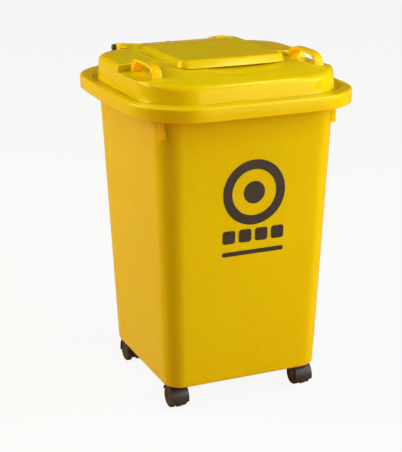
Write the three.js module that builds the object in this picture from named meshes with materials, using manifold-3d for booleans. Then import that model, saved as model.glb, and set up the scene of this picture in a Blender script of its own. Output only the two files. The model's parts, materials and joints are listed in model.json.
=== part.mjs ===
import * as THREE from 'three';
import { mergeVertices } from 'three/addons/utils/BufferGeometryUtils.js';
import Module from 'manifold-3d';

// A fifty litre waste bin on four twin-wheel casters, with a lift-off lid and a hinged flap.
// Millimetres. The floor is z = 0, the front faces -Y, and the origin is under the bin's middle.

const wasm = await Module();
wasm.setup();

// ---- driving dimensions -------------------------------------------------------------------
// tub
const wall = 3.5;
const tubBottom = 44;
const tubTop = 555;
const tubCentreY = -3;
const tubLow = { width: 293, depth: 288, radius: 33 };
const tubHigh = { width: 331, depth: 340, radius: 40 };
const baseBand = { height: 25, inset: 0.5, edgeRound: 5, stepHeight: 8 };
const floorThickness = 4;
const flange = { width: 399, depth: 426.5, radius: 85, bow: 12.5, bowY: 3.3, lip: 16 };
const gusset = { thickness: 6, bottom: 499, frontReach: 163, rearReach: 157, y: 154, inner: 138 };
const restPanel = { width: 150, depth: 220, radius: 20, drop: 3 };
// lid
const skirt = {
  width: 410, depth: 437.5, radius: 91, bow: 12.5, bowY: 3.3, bottom: 535, top: 558.5, edgeRound: 3,
};
const lidWall = 3.2;
const lidRestGap = 0.4;
const dome = { width: 362, depth: 348, radius: 80, bow: 4, centreY: -8.5, draft: 1.5 };
const groove = { width: 5, depth: 2.5 };
const crown = {
  peak: 603, fallSide: 5, fallFront: 18, fallRear: 7, halfWidth: 178, frontDepth: 180, rearDepth: 162,
};
const mouth = { width: 172, depth: 215, radius: 24, centreY: 32 };
// handles moulded in the lid, each a strap over a hollow for the fingers
const handle = {
  inner: 141, outer: 157, front: -122, back: -9, top: 612.5, thickness: 5, foot: 589, legBack: 16,
};
const scoop = {
  inner: 110, outer: 192, front: -136, back: -9, floor: 586, slopeInner: 20, slopeFront: 28, slopeBack: 3,
  rimDrop: 5, cornerLow: 12, cornerHigh: 24,
};
// flap and its hinge
const flap = {
  front: -100, rear: 196, halfWidth: 98, swell: 14, taper: 7, corner: 14, bow: 4, wall: 3, edge: 600.5,
};
const flapTop = { front: -89, halfWidth: 94, height: 612, ridgeY: 88, rearHeight: 596 };
const hinge = {
  y: 211.5, z: 588.5, knuckle: 8, bore: 3.4, lugInner: 86, lugOuter: 97.3, armInner: 97.8, armOuter: 106,
};
const pin = { radius: 3, headRadius: 7.2, headLength: 5.3 };
const hingeStop = { halfWidth: 4.5, notchHalf: 8, notchDepth: 8 };
// casters
const wheel = { radius: 20, width: 9.8, inner: 5.9, bore: 2.35, sides: 24 };
const axle = { radius: 2, length: 29 };
const hood = {
  radius: 22.6, thickness: 1.9, halfWidth: 16.6, webHalf: 5.3, top: 42.8, boss: 8,
  shellFrom: -0.3, shellTo: 2.75, webFrom: -0.9, webTo: 3.6,
};
const stem = {
  x: 122, y: 101, lower: 3.4, upper: 5.5, collar: 9, bottom: 27, top: 68, groove: 56, grooveHeight: 5,
};
const gripRingSize = { height: 4.2, lift: 0.4, play: 0.35, squeeze: 0.25, halfSlot: 0.35 };
const socket = { bore: 5.9, outer: 10, top: 74 };
const trail = 12;
const gap = 0.3;

const colours = {
  yellow: new THREE.Color(0.87, 0.68, 0.02),
  black: new THREE.Color(0.05, 0.048, 0.045),
  steel: new THREE.Color(0.62, 0.63, 0.65),
};

// ---- geometry helpers ---------------------------------------------------------------------
const cornerSteps = 6;
const sideSteps = 4;

/** Turns a three.js geometry into a solid that can be cut and joined. */
function solid(geometry) {
  const bare = geometry.clone();
  bare.deleteAttribute('normal');
  bare.deleteAttribute('uv');
  const merged = mergeVertices(bare, 1e-4);
  const mesh = new wasm.Mesh({
    numProp: 3,
    vertProperties: Float32Array.from(merged.attributes.position.array),
    triVerts: Uint32Array.from(merged.index.array),
  });
  return new wasm.Manifold(mesh);
}

/** Turns a solid back into a geometry for a mesh. */
function geometryOf(body) {
  const mesh = body.getMesh();
  const geometry = new THREE.BufferGeometry();
  geometry.setAttribute('position', new THREE.BufferAttribute(mesh.vertProperties, 3));
  geometry.setIndex(new THREE.BufferAttribute(mesh.triVerts, 1));
  geometry.computeVertexNormals();
  return geometry;
}

/** A ring round a rounded rectangle. Its X sides swell outwards by bow, its front and rear by bowY. */
function outline({ width, depth, radius, bow = 0, bowY = bow, centreX = 0, centreY = 0 }) {
  const halfWidth = width / 2;
  const halfDepth = depth / 2;
  const centres = [
    [halfWidth - radius, halfDepth - radius],
    [radius - halfWidth, halfDepth - radius],
    [radius - halfWidth, radius - halfDepth],
    [halfWidth - radius, radius - halfDepth],
  ];
  const corners = centres.map(([x, y], corner) => {
    const start = corner * Math.PI / 2;
    return new THREE.EllipseCurve(x, y, radius, radius, start, start + Math.PI / 2).getPoints(cornerSteps);
  });
  const ring = corners.flatMap((points, corner) => {
    const side = new THREE.LineCurve(points[cornerSteps], corners[(corner + 1) % corners.length][0]);
    return points.concat(side.getPoints(sideSteps).slice(1, sideSteps));
  });
  return ring.map(({ x, y }) => new THREE.Vector2(
    x * (1 - bow / halfWidth * (y / halfDepth) ** 2) + centreX,
    y * (1 - bowY / halfDepth * (x / halfWidth) ** 2) + centreY,
  ));
}

/** The same plan drawn in by inset on every side. */
function drawnIn(plan, inset) {
  const { width, depth, radius } = plan;
  return outline({ ...plan, width: width - 2 * inset, depth: depth - 2 * inset, radius: radius - inset });
}

/** Lifts a ring of plane points to a height, which may depend on the place. */
function atHeight(points, height) {
  const heightAt = typeof height === 'function' ? height : () => height;
  return points.map((p) => new THREE.Vector3(p.x, p.y, heightAt(p.x, p.y)));
}

/** Skins rings of equal length. A capped skin is closed by its end rings, a hoop by its first ring. */
function skin(rings, capped) {
  const count = rings[0].length;
  const positions = rings.flat().flatMap((p) => [p.x, p.y, p.z]);
  const index = [];
  const spans = capped ? rings.length - 1 : rings.length;
  for (let span = 0; span < spans; span += 1) {
    const lower = span * count;
    const upper = ((span + 1) % rings.length) * count;
    for (let i = 0; i < count; i += 1) {
      const next = (i + 1) % count;
      index.push(lower + i, lower + next, upper + next, lower + i, upper + next, upper + i);
    }
  }
  if (capped) {
    const last = (rings.length - 1) * count;
    const facesOf = (ring) => {
      const flat = ring.map((p) => new THREE.Vector2(p.x, p.y));
      return THREE.ShapeUtils.triangulateShape(flat, []);
    };
    facesOf(rings[0]).forEach(([a, b, c]) => index.push(c, b, a));
    facesOf(rings.at(-1)).forEach(([a, b, c]) => index.push(last + a, last + b, last + c));
  }
  const geometry = new THREE.BufferGeometry();
  geometry.setAttribute('position', new THREE.Float32BufferAttribute(positions, 3));
  geometry.setIndex(index);
  return solid(geometry);
}

/** Extrudes an outline given in the YZ plane along X, from one x to another. */
function alongX(points, fromX, toX) {
  const shape = new THREE.Shape(points.map(([y, z]) => new THREE.Vector2(y, z)));
  const geometry = new THREE.ExtrudeGeometry(shape, { depth: toX - fromX, bevelEnabled: false });
  geometry.rotateX(Math.PI / 2);
  geometry.rotateZ(Math.PI / 2);
  geometry.translate(fromX, 0, 0);
  return solid(geometry);
}

/** A cylinder along Z between two heights. */
function post(radius, x, y, bottom, top, sides = 20) {
  const geometry = new THREE.CylinderGeometry(radius, radius, top - bottom, sides);
  geometry.rotateX(Math.PI / 2);
  geometry.translate(x, y, (top + bottom) / 2);
  return solid(geometry);
}

/** A cylinder along X between two places, with one flat side facing down. */
function rod(radius, fromX, toX, y, z, sides = 20) {
  const geometry = new THREE.CylinderGeometry(radius, radius, toX - fromX, sides);
  geometry.rotateY(Math.PI / sides);
  geometry.rotateZ(Math.PI / 2);
  geometry.translate((fromX + toX) / 2, y, z);
  return solid(geometry);
}

function box(fromX, toX, fromY, toY, fromZ, toZ) {
  const geometry = new THREE.BoxGeometry(toX - fromX, toY - fromY, toZ - fromZ);
  geometry.translate((fromX + toX) / 2, (fromY + toY) / 2, (fromZ + toZ) / 2);
  return solid(geometry);
}

/** A copy on the other side of the X = 0 plane. */
function mirrored(body) {
  return body.mirror([1, 0, 0]);
}

// ---- tub ----------------------------------------------------------------------------------
/** The tub's plan at a height, drawn in by inset on every side. */
function tubPlan(z, inset) {
  const t = (z - tubBottom) / (tubTop - tubBottom);
  return drawnIn({
    width: THREE.MathUtils.lerp(tubLow.width, tubHigh.width, t),
    depth: THREE.MathUtils.lerp(tubLow.depth, tubHigh.depth, t),
    radius: THREE.MathUtils.lerp(tubLow.radius, tubHigh.radius, t),
    centreY: tubCentreY,
  }, inset);
}

function tubShell() {
  const bandTop = tubBottom + baseBand.height;
  const edge = baseBand.edgeRound;
  const outer = skin([
    atHeight(tubPlan(tubBottom, baseBand.inset + edge), tubBottom),
    atHeight(tubPlan(tubBottom, baseBand.inset + 0.3 * edge), tubBottom + 0.3 * edge),
    atHeight(tubPlan(tubBottom, baseBand.inset), tubBottom + edge),
    atHeight(tubPlan(bandTop, baseBand.inset), bandTop - baseBand.stepHeight),
    atHeight(tubPlan(bandTop, 0), bandTop),
    atHeight(tubPlan(tubTop, 0), tubTop),
  ], true);
  const inside = baseBand.inset + wall;
  const inner = skin([
    atHeight(tubPlan(tubBottom, inside + edge), tubBottom + floorThickness),
    atHeight(tubPlan(tubBottom, inside), tubBottom + floorThickness + edge),
    atHeight(tubPlan(bandTop, inside), bandTop),
    atHeight(tubPlan(bandTop, wall), bandTop + baseBand.stepHeight),
    atHeight(tubPlan(tubTop + wall, wall), tubTop + wall),
  ], true);
  return outer.subtract(inner);
}

/** The turned-down flange round the tub's mouth, which the lid rests on. */
function tubFlange() {
  const edge = 1.5;
  return skin([
    atHeight(drawnIn(flange, 0), tubTop - flange.lip),
    atHeight(drawnIn(flange, 0), tubTop - edge),
    atHeight(drawnIn(flange, edge), tubTop),
    atHeight(tubPlan(tubTop, wall / 2), tubTop),
    atHeight(tubPlan(tubTop, wall / 2), tubTop - wall),
    atHeight(drawnIn(flange, wall), tubTop - wall),
    atHeight(drawnIn(flange, wall), tubTop - flange.lip),
  ], false);
}

/** Ribs under the flange near the four corners. */
function tubGussets() {
  const { thickness, bottom, frontReach, rearReach, y, inner } = gusset;
  const rib = (reach, middle) => box(
    inner, reach, middle - thickness / 2, middle + thickness / 2, bottom, tubTop - 1,
  );
  const right = rib(frontReach, tubCentreY - y).add(rib(rearReach, tubCentreY + y));
  return right.add(mirrored(right));
}

function tub() {
  const { width, depth, radius, drop } = restPanel;
  const plan = outline({ width, depth, radius, centreY: tubCentreY });
  const panel = skin([atHeight(plan, tubBottom - drop), atHeight(plan, tubBottom + 1)], true);
  const sockets = stemPlaces.map(([x, y]) => post(socket.outer, x, y, tubBottom + 1, socket.top));
  const bores = stemPlaces.map(([x, y]) => post(socket.bore, x, y, tubBottom - 1, socket.top - wall));
  const hollow = skin([
    atHeight(tubPlan(gusset.bottom - wall, wall), gusset.bottom - wall),
    atHeight(tubPlan(tubTop + wall, wall), tubTop + wall),
  ], true);
  let body = tubShell().add(tubFlange()).add(tubGussets().subtract(hollow)).add(panel);
  sockets.forEach((boss) => { body = body.add(boss); });
  bores.forEach((bore) => { body = body.subtract(bore); });
  return body;
}

// ---- lid ----------------------------------------------------------------------------------
/** Height of the lid's crowned top, which falls to the sides and front and late to the rear. */
function crownHeight(x, y) {
  const { peak, fallSide, fallFront, fallRear, halfWidth, frontDepth, rearDepth } = crown;
  const sideways = fallSide * (Math.abs(x) / halfWidth) ** 3;
  const lengthwise = y < 0 ? fallFront * (-y / frontDepth) ** 2.5 : fallRear * (y / rearDepth) ** 4;
  return peak - sideways - lengthwise;
}

function below(drop) {
  return (x, y) => crownHeight(x, y) - drop;
}

/** A ring round the dome, drawn in by inset. */
function domeRing(inset, height) {
  return atHeight(drawnIn(dome, inset), height);
}

function lidShell() {
  const { bottom, top, edgeRound } = skirt;
  const rim = (inset, z) => atHeight(drawnIn(skirt, inset), z);
  const hole = (grow, height) => atHeight(drawnIn(mouth, -grow), height);
  return skin([
    rim(0, bottom),
    rim(0, top - edgeRound),
    rim(edgeRound / 3, top - edgeRound / 3),
    rim(edgeRound, top),
    domeRing(-2 * groove.width, top),
    domeRing(-groove.width, top - groove.depth),
    domeRing(0, top - groove.depth / 2),
    domeRing(dome.draft, below(14)),
    domeRing(dome.draft + 2.5, below(6.5)),
    domeRing(dome.draft + 6.5, below(2)),
    domeRing(dome.draft + 13, below(0)),
    hole(3, below(0)),
    hole(0, below(0)),
    hole(0, below(lidWall)),
    domeRing(dome.draft + 14, below(lidWall + 0.3)),
    domeRing(dome.draft + lidWall + 1, below(14)),
    domeRing(lidWall, tubTop + lidRestGap),
    rim(lidWall, tubTop + lidRestGap),
    rim(lidWall, bottom),
  ], false);
}

/** The hollow that a hand reaches into under one handle, open to the lid's side, grown by grow. */
function scoopSpace(grow) {
  const { inner, outer, front, back, floor, slopeInner, slopeFront, slopeBack } = scoop;
  const plan = (fromX, fromY, toY, radius) => outline({
    width: outer - fromX,
    depth: toY - fromY,
    radius,
    centreX: (outer + fromX) / 2,
    centreY: (toY + fromY) / 2,
  });
  const lowX = inner + slopeInner - grow;
  const lowPlan = plan(lowX, front + slopeFront - grow, back - slopeBack + grow, scoop.cornerLow);
  const highPlan = plan(inner - grow, front - grow, back + grow, scoop.cornerHigh);
  return skin([
    atHeight(lowPlan, floor - grow),
    atHeight(highPlan, crown.peak - scoop.rimDrop),
    atHeight(highPlan, crown.peak + 20),
  ], true);
}

/** One handle: a low strap standing over its scoop, its rear leg broader than the front one. */
function handleStrap() {
  const { inner, outer, front, back, top, thickness, foot, legBack } = handle;
  const under = top - thickness;
  const outerLine = [
    [front, foot], [front + 4, foot + 10], [front + 13, top - 3.5], [front + 26, top - 1], [front + 46, top],
    [back - 34, top], [back - 17, top - 3.5], [back - 6, foot + 9], [back, foot - 5],
  ];
  const innerLine = [
    [back - legBack, foot - 5], [back - legBack - 4, foot + 9], [back - legBack - 14, under - 0.5],
    [front + 46, under], [front + 26, under - 1.2], [front + 16, under - 4], [front + 9, foot + 6],
    [front + 7, foot],
  ];
  return alongX(outerLine.concat(innerLine), inner, outer);
}

/** Ears at the lid's rear that carry the hinge pins, and the middle stop between them. */
function hingeLugs() {
  const { y, z, knuckle, bore, lugInner, lugOuter } = hinge;
  const front = flap.rear + 2.3;
  const base = skirt.top - 2;
  const rear = y + 3;
  const earLine = [
    [flap.rear, base], [rear, base], [y + knuckle - 1, z], [y, z + knuckle - 1],
    [front + 3, z], [front + 1, z - 7], [flap.rear, z - 14],
  ];
  const ear = alongX(earLine, lugInner, lugOuter)
    .add(rod(knuckle - 0.5, lugInner, lugOuter, y, z))
    .subtract(rod(bore, lugInner - 1, lugOuter + 1, y, z));
  const stopLine = [
    [flap.rear, base], [rear, base], [y + 4, z + 3], [y - 3, z + 6], [front, z - 3], [flap.rear, z - 14],
  ];
  const stop = alongX(stopLine, -hingeStop.halfWidth, hingeStop.halfWidth);
  return ear.add(mirrored(ear)).add(stop);
}

function lid() {
  const ceiling = skin([
    domeRing(lidWall + 1, skirt.top),
    domeRing(lidWall + 1, below(7)),
    domeRing(15, below(1)),
  ], true);
  const pocket = scoopSpace(lidWall).intersect(ceiling);
  const space = scoopSpace(0);
  const strap = handleStrap();
  return lidShell()
    .add(pocket.add(mirrored(pocket)))
    .subtract(space.add(mirrored(space)))
    .add(strap.add(mirrored(strap)))
    .add(hingeLugs());
}

// ---- flap ---------------------------------------------------------------------------------
/** Half the flap's width along its lower edge, which swells behind the front and then tapers. */
function flapSide(y) {
  const swell = flap.swell * THREE.MathUtils.smoothstep(y, flap.front, 20);
  const taper = y > 0 ? flap.taper * (y / hinge.y) ** 2 : 0;
  return flap.halfWidth + swell - taper;
}

/** The flap's plan, from its lower edge (rise 0) to its top (rise 1), drawn in by inset. */
function flapPlan(rise, inset) {
  const front = THREE.MathUtils.lerp(flap.front, flapTop.front, rise) + inset;
  const depth = flap.rear + 40 - front;
  const straight = 2 * (flap.halfWidth - inset);
  const plain = outline({ width: straight, depth, radius: flap.corner, centreY: front + depth / 2 });
  return plain.map(({ x, y }) => {
    const side = THREE.MathUtils.lerp(flapSide(y), flapTop.halfWidth, rise);
    const bowed = y < front + flap.corner * 2 ? flap.bow * (1 - (x / flap.halfWidth) ** 2) : 0;
    return new THREE.Vector2(x * side / flap.halfWidth, y - bowed);
  });
}

/** The space the flap fills, drawn in by inset on all sides but the lower one. */
function flapBlock(inset) {
  const { height, ridgeY, rearHeight } = flapTop;
  const overTop = height + 4;
  const plan = skin([
    atHeight(flapPlan(0, inset), crown.peak - 18),
    atHeight(flapPlan(0, inset), flap.edge),
    atHeight(flapPlan((overTop - flap.edge) / (height - flap.edge), inset), overTop),
  ], true);
  const over = inset > 0 ? -1 : 1;
  const foremost = flap.front - flap.bow - 4;
  const steps = 10;
  const lowerLine = [];
  for (let step = 0; step <= steps; step += 1) {
    const y = THREE.MathUtils.lerp(flap.rear - inset, foremost, step / steps);
    lowerLine.push([y, crownHeight(0, y) + over]);
  }
  const side = alongX([
    [foremost, height - inset],
    [ridgeY, height - inset],
    [flap.rear - inset, rearHeight - inset],
    ...lowerLine,
  ], -140, 140);
  return plan.intersect(side);
}

/** Arm from the flap's side to its knuckle, with a hollow top line. */
function flapArm() {
  const { y, z, knuckle, bore, armInner, armOuter } = hinge;
  const line = [
    [105, 602], [135, 600.5], [158, 598.5], [172, 594], [y - knuckle, z - 3], [y, z], [y, z + knuckle - 0.2],
    [y - 9, z + 9.5], [182, z + 13.2], [153, z + 16.8], [125, z + 20], [105, z + 21.5],
  ];
  return alongX(line, armInner, armOuter)
    .add(rod(knuckle, armInner, armOuter, y, z))
    .subtract(rod(bore, armInner - 1, armOuter + 1, y, z));
}

function flapBody() {
  const arm = flapArm();
  const { notchHalf, notchDepth } = hingeStop;
  const notch = box(-notchHalf, notchHalf, flap.rear - notchDepth, flap.rear + 5, tubTop, flapTop.height + 5);
  return flapBlock(0)
    .subtract(flapBlock(flap.wall))
    .subtract(notch)
    .add(arm)
    .add(mirrored(arm));
}

function hingePin() {
  const { y, z, lugInner, armOuter } = hinge;
  const headStart = armOuter + gap;
  return rod(pin.radius, lugInner - 2, headStart + 1, y, z, 16)
    .add(rod(pin.headRadius, headStart, headStart + pin.headLength, y, z));
}

// ---- casters ------------------------------------------------------------------------------
const frontStems = tubCentreY - stem.y;
const rearStems = tubCentreY + stem.y;
const stemPlaces = [[-stem.x, frontStems], [stem.x, frontStems], [-stem.x, rearStems], [stem.x, rearStems]];
const casterNames = ['front_left', 'front_right', 'rear_left', 'rear_right'];
// the flat side of the wheel's polygon lies on the floor
const axleHeight = wheel.radius * Math.cos(Math.PI / wheel.sides);

/** A steel stem with the groove that its grip ring sits in. */
function casterStem() {
  const { lower, upper, collar, bottom, top, groove: grooveBottom, grooveHeight } = stem;
  const collarBottom = hood.top + gap - 0.1;
  const collarTop = tubBottom - gap;
  const grooveTop = grooveBottom + grooveHeight;
  const profile = [
    [0, bottom], [lower, bottom], [lower, collarBottom], [collar, collarBottom], [collar, collarTop],
    [upper, collarTop], [upper, grooveBottom], [lower, grooveBottom], [lower, grooveTop], [upper, grooveTop],
    [upper, top - 1.5], [upper - 1.5, top], [0, top],
  ];
  const points = profile.map(([r, z]) => new THREE.Vector2(r, z));
  return solid(new THREE.LatheGeometry(points, 20).rotateX(Math.PI / 2));
}

/** A split spring ring round the stem's groove. */
function gripRing() {
  const { height, lift, play, squeeze, halfSlot } = gripRingSize;
  const shape = new THREE.Shape();
  shape.absarc(0, 0, socket.bore - squeeze, halfSlot, 2 * Math.PI - halfSlot, false);
  shape.absarc(0, 0, stem.lower + play, 2 * Math.PI - halfSlot, halfSlot, true);
  const settings = { depth: height, bevelEnabled: false, curveSegments: 10 };
  const geometry = new THREE.ExtrudeGeometry(shape, settings);
  geometry.translate(0, 0, stem.groove + lift);
  return solid(geometry);
}

/** The hood: a web between the wheels, a shell over them, and a boss round the stem. */
function casterHood() {
  const { radius, thickness, halfWidth, webHalf, top, boss } = hood;
  const inner = radius - thickness;
  const above = top + 20;
  const arc = (r, from, to) => {
    const points = new THREE.EllipseCurve(trail, axleHeight, r, r, from, to).getPoints(14);
    return points.map((p) => [p.x, p.y]);
  };
  const outerArc = arc(radius, hood.shellFrom, hood.shellTo);
  const innerArc = arc(inner, hood.shellFrom, hood.shellTo).reverse();
  const shell = alongX(outerArc.concat(innerArc), -halfWidth, halfWidth);
  const web = alongX(arc(inner + 0.5, hood.webFrom, hood.webTo), -webHalf, webHalf);
  const between = box(-webHalf, webHalf, -boss, boss, 0, above);
  const column = post(boss, 0, 0, stem.bottom - 2, top).intersect(between);
  const crest = box(-halfWidth, halfWidth, -2 * radius, 3 * radius, top, above);
  return shell.add(web).add(column)
    .subtract(crest)
    .subtract(post(stem.lower + gap, 0, 0, stem.bottom - 0.5, above))
    .subtract(rod(axle.radius + gap, -webHalf - 1, webHalf + 1, trail, axleHeight, 16));
}

/** A wheel with a rounded tread and a dished outer face, its axis along X. */
function casterWheel() {
  const { radius, width, bore, sides } = wheel;
  const profile = [
    [bore, 0], [radius - 1.2, 0], [radius, 1.5], [radius, width - 2.5], [radius - 2, width],
    [radius - 5, width], [radius - 6, width - 1.2], [6.5, width - 1.2], [bore, width - 0.6], [bore, 0],
  ];
  const geometry = new THREE.LatheGeometry(profile.map(([r, x]) => new THREE.Vector2(r, x)), sides);
  geometry.rotateY(Math.PI / sides);
  geometry.rotateZ(-Math.PI / 2);
  return solid(geometry);
}

// ---- assembly -----------------------------------------------------------------------------
function material(color, roughness, metalness) {
  return new THREE.MeshStandardMaterial({ color, roughness, metalness });
}

const yellowPlastic = material(colours.yellow, 0.28, 0);
const blackPlastic = material(colours.black, 0.45, 0);
const blackTread = material(colours.black, 0.7, 0);
const steelMetal = material(colours.steel, 0.35, 1);

function named(name, body, surface) {
  const mesh = new THREE.Mesh(geometryOf(body), surface);
  mesh.name = name;
  return mesh;
}

/** One caster at its stem's place; facing is -1 where the wheels lie towards the front. */
function caster(place, x, y, facing) {
  const whole = new THREE.Group();
  whole.position.set(x, y, 0);
  whole.rotation.z = facing < 0 ? Math.PI : 0;
  const stemMesh = named(`caster_${place}_stem`, casterStem(), steelMetal);
  const ringMesh = named(`caster_${place}_grip_ring`, gripRing(), steelMetal);
  const hoodMesh = named(`caster_${place}_hood`, casterHood(), blackPlastic);
  const axleRod = rod(axle.radius, -axle.length / 2, axle.length / 2, 0, 0, 16);
  const axleMesh = named(`caster_${place}_axle`, axleRod, steelMetal);
  axleMesh.position.set(0, trail, axleHeight);
  const [innerSide, outerSide] = facing < 0 ? ['left', 'right'] : ['right', 'left'];
  const innerWheel = named(`caster_${place}_wheel_${innerSide}`, casterWheel(), blackTread);
  innerWheel.position.set(wheel.inner, trail, axleHeight);
  const outerWheel = named(`caster_${place}_wheel_${outerSide}`, casterWheel(), blackTread);
  outerWheel.position.set(-wheel.inner, trail, axleHeight);
  outerWheel.rotation.z = Math.PI;
  whole.add(stemMesh, ringMesh, hoodMesh, axleMesh, innerWheel, outerWheel);
  return whole;
}

const group = new THREE.Group();
group.add(named('tub', tub(), yellowPlastic));
group.add(named('lid', lid(), yellowPlastic));
group.add(named('flap', flapBody(), yellowPlastic));
group.add(named('hinge_pin_right', hingePin(), blackPlastic));
group.add(named('hinge_pin_left', mirrored(hingePin()), blackPlastic));
stemPlaces.forEach(([x, y], i) => group.add(caster(casterNames[i], x, y, Math.sign(y))));

export default group;
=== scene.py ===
import json
import math

import bmesh
import bpy
import numpy as np
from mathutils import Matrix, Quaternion, Vector


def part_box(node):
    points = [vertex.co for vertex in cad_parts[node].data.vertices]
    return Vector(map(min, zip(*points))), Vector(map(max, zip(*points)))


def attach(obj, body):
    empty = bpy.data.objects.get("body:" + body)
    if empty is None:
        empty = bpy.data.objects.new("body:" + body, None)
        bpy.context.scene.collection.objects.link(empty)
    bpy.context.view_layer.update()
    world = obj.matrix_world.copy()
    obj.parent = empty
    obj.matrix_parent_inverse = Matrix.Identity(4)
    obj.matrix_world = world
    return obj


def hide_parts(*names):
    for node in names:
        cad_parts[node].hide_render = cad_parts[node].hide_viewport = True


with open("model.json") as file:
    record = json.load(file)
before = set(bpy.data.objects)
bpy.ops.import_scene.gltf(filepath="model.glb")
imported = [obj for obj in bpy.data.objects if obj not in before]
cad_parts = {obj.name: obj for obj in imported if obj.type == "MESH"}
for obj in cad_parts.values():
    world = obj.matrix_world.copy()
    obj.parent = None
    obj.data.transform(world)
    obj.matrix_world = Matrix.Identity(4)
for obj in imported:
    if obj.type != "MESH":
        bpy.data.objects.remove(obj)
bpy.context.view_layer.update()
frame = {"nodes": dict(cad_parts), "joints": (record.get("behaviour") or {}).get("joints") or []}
JOINTS = {joint["name"]: joint for joint in frame["joints"]}

# Shapes are worked out in millimetres, in the frame's axes, and scaled to metres in each mesh.
MM = 0.001

# ---- sizes, taken from the frame where it holds them --------------------------------------
LID_LOW, LID_HIGH = [[value / MM for value in corner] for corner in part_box("lid")]
TUB_LOW, TUB_HIGH = [[value / MM for value in corner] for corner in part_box("tub")]
FLAP_HIGH = [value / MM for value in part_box("flap")[1]]
HINGE = [value / MM for value in JOINTS["flap_hinge"]["pos_m"]]

TUB_TOP = TUB_HIGH[2]
PANEL_DROP = 3.0
TUB_BOTTOM = TUB_LOW[2] + PANEL_DROP
WALL = 3.5
TUB_PLAN_LOW = (293.0, 288.0, 33.0)
TUB_PLAN_HIGH = (331.0, 340.0, 40.0)
TUB_Y = -3.0
BAND_HEIGHT = 25.0
BAND_INSET = 0.5
GUSSET_Y = 154.0
GUSSET_INNER = 138.0
GUSSET_REACH_FRONT = 163.0
GUSSET_REACH_REAR = 157.0
GUSSET_BOTTOM = 499.0
SOCKET_BORE = 5.9
SOCKET_OUTER = 10.0
SOCKET_TOP = 74.0
FLANGE = (TUB_HIGH[0] - TUB_LOW[0], TUB_HIGH[1] - TUB_LOW[1], 85.0, (12.5, 3.3))
FLANGE_LIP = 16.0

SKIRT = (LID_HIGH[0] - LID_LOW[0], 437.5, 91.0, (12.5, 3.3))
SKIRT_BOTTOM = LID_LOW[2]
SKIRT_TOP = SKIRT_BOTTOM + 23.5
DOME = (362.0, 348.0, 80.0, (4.0, 4.0))
DOME_Y = -8.5
MOUTH = (172.0, 215.0, 24.0)
MOUTH_Y = 32.0
LID_WALL = 3.2
CROWN = 603.0
CROWN_FALL_SIDE = 5.0
CROWN_FALL_FRONT = 18.0
CROWN_FALL_REAR = 7.0
CROWN_HALF_WIDTH = 178.0
CROWN_FRONT = 180.0
CROWN_REAR = 162.0

SCOOP_FLOOR = 586.0
SCOOP_INNER = 112.0
SCOOP_OUTER = 178.0
SCOOP_FRONT = -136.0
SCOOP_BACK = -10.0

HANDLE_X = (141.0, 157.0)

FLAP_FRONT = -100.0
FLAP_CORNER = 21.0
FLAP_CORNER_LOSS = 13.0
FLAP_REAR = 196.0
FLAP_HALF = 98.0
FLAP_SWELL = 14.0
FLAP_TAPER = 7.0
FLAP_TOP = FLAP_HIGH[2]
FLAP_TOP_FRONT = -89.0
FLAP_TOP_HALF = 94.0
FLAP_BOW = 4.0
FLAP_RIDGE_Y = 88.0
FLAP_WALL = 3.0

KNUCKLE = 8.0
LUG_X = (86.0, 97.3)
ARM_X = (97.8, 106.0)

HOOD_RADIUS = 22.6
HOOD_WALL = 1.9
HOOD_HALF = 16.6
HOOD_TOP = 42.8
WEB_HALF = 5.3
WHEEL_X = (5.9, 15.7)

PRINT_X = 6.0
PRINT_PROUD = 0.15


# ---- rings, skins and meshes --------------------------------------------------------------
def outline(width, depth, radius, bow=(0.0, 0.0), centre=(0.0, 0.0), corner=12, side=12):
    """Points round a rounded rectangle, counterclockwise from the middle of its front left corner."""
    half = (width / 2, depth / 2)
    corners = []
    for sign_x, sign_y, start in ((-1, -1, 180), (1, -1, 270), (1, 1, 0), (-1, 1, 90)):
        angles = np.radians(start + np.linspace(0, 90, corner + 1))
        x = sign_x * (half[0] - radius) + radius * np.cos(angles)
        y = sign_y * (half[1] - radius) + radius * np.sin(angles)
        corners.append(np.column_stack([x, y]))
    ring = []
    for here, after in zip(corners, corners[1:] + corners[:1]):
        along = np.linspace(0, 1, side + 1)[1:-1, None]
        ring += [here, here[-1] * (1 - along) + after[0] * along]
    ring = np.roll(np.vstack(ring), -(corner // 2), axis=0)
    x, y = ring[:, 0], ring[:, 1]
    bowed_x = x * (1 - bow[0] / half[0] * (y / half[1]) ** 2)
    bowed_y = y * (1 - bow[1] / half[1] * (x / half[0]) ** 2)
    return np.column_stack([bowed_x + centre[0], bowed_y + centre[1]])


def raised(plan, height):
    """A plane ring lifted to a height, which is a number or a function of x and y."""
    z = height(plan[:, 0], plan[:, 1]) if callable(height) else np.full(len(plan), float(height))
    return np.column_stack([plan, z])


def soften(rings, cuts, steps=5):
    """Turns each ring that has a cut into an arc of rings, which starts and ends that far from it."""
    result = []
    for index, (ring, cut) in enumerate(zip(rings, cuts)):
        if not cut or index in (0, len(rings) - 1):
            result.append(ring)
            continue
        ends = []
        for other in (rings[index - 1], rings[index + 1]):
            way = other - ring
            length = np.maximum(np.linalg.norm(way, axis=1, keepdims=True), 1e-9)
            ends.append(ring + way / length * np.minimum(cut, 0.48 * length))
        for t in np.linspace(0, 1, steps + 1):
            result.append((1 - t) ** 2 * ends[0] + 2 * t * (1 - t) * ring + t * t * ends[1])
    return result


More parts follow.
